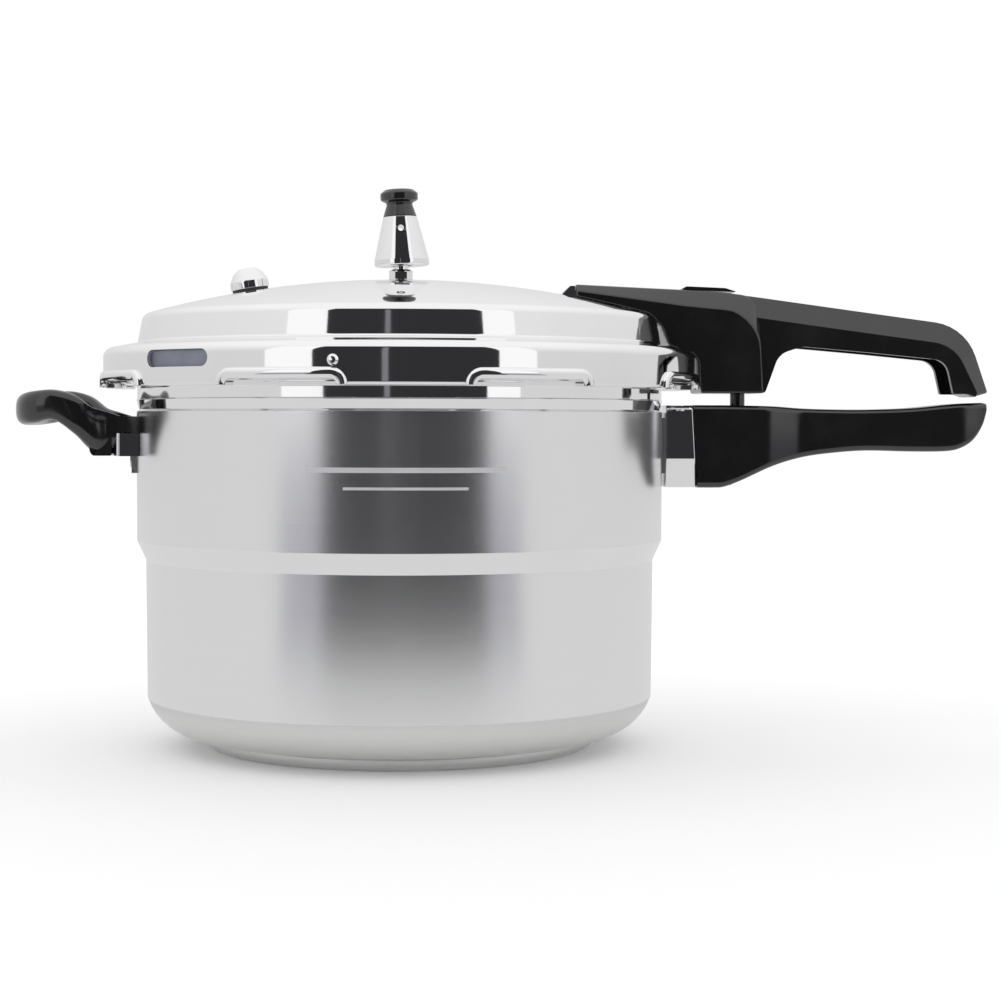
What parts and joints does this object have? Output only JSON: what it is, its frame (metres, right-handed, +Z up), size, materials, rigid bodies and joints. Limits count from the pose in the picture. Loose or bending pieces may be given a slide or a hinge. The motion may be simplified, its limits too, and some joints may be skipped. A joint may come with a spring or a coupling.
{
  "type": "stovetop pressure cooker",
  "caption": "Stovetop pressure cooker with a deep stepped pot, bayonet dome lid, paired long handles, helper handle, weight and safety valve.",
  "frame": {"origin": "centre of the underside of the base plate", "axes": "+Z up, +X towards the long handles"},
  "size_m": [0.4556, 0.2752, 0.2598],
  "materials": {
    "brushed_aluminium": "circumferentially brushed, bright",
    "polished_aluminium": "mirror polished",
    "satin_base": "fine matt",
    "chrome": "polished",
    "plated_steel": "zinc plated",
    "rivet_aluminium": "satin",
    "phenolic": "glossy moulded",
    "seal_rubber": "matt",
    "gasket_rubber": "matt",
    "brass_fitting": "turned"
  },
  "bodies": {
    "pot": {"pot_shell": "brushed_aluminium", "base_plate": "satin_base", "long_bracket": "plated_steel", "long_bracket_rivets": "rivet_aluminium", "lower_handle_ferrule": "chrome", "lower_handle": "phenolic", "lower_handle_screw": "plated_steel", "lock_post": "phenolic", "helper_bracket": "plated_steel", "helper_bracket_rivets": "rivet_aluminium", "helper_ferrule": "chrome", "helper_handle": "phenolic"},
    "seal": {"sealing_ring": "seal_rubber"},
    "lid": {"lid_shell": "polished_aluminium", "stop_rivet": "rivet_aluminium", "vent_pipe": "chrome", "vent_washer": "plated_steel", "vent_nut": "plated_steel", "vent_guard": "plated_steel", "safety_gasket": "gasket_rubber", "safety_bush": "brass_fitting", "safety_cap": "chrome", "safety_spring": "plated_steel", "upper_handle": "phenolic", "lid_tongue": "chrome", "upper_handle_inserts": "brass_fitting", "upper_handle_screws": "plated_steel", "float_bush": "gasket_rubber"},
    "weight": {"weight_body": "chrome", "weight_knob": "phenolic", "weight_pin": "plated_steel"},
    "safety_plug": {"safety_piston": "brass_fitting"},
    "float": {"float_pin": "plated_steel"},
    "lock": {"lock_button": "phenolic", "lock_slide": "plated_steel"}
  },
  "joints": [
    {"name": "lid_lift", "type": "slide", "parent": "pot", "child": "seal", "axis": [0, 0, 1], "range_m": [0, 0.12]},
    {"name": "lid_turn", "type": "hinge", "parent": "seal", "child": "lid", "pos_m": [0, 0, 0.17], "axis": [0, 0, -1], "range_deg": [0, 22.5]},
    {"name": "weight_lift", "type": "slide", "parent": "lid", "child": "weight", "axis": [0, 0, 1], "range_m": [0, 0.03]},
    {"name": "safety_plug_slide", "type": "slide", "parent": "lid", "child": "safety_plug", "axis": [-0.1628, 0, 0.9867], "range_m": [0, 0.0015], "stiffness_N_per_m": 400, "deforming": ["safety_spring"]},
    {"name": "float_slide", "type": "slide", "parent": "lid", "child": "float", "axis": [0.2334, 0, 0.9724], "range_m": [0, 0.0025]},
    {"name": "lock_slide", "type": "slide", "parent": "lid", "child": "lock", "axis": [1, 0, 0], "range_m": [0, 0.004]}
  ]
}
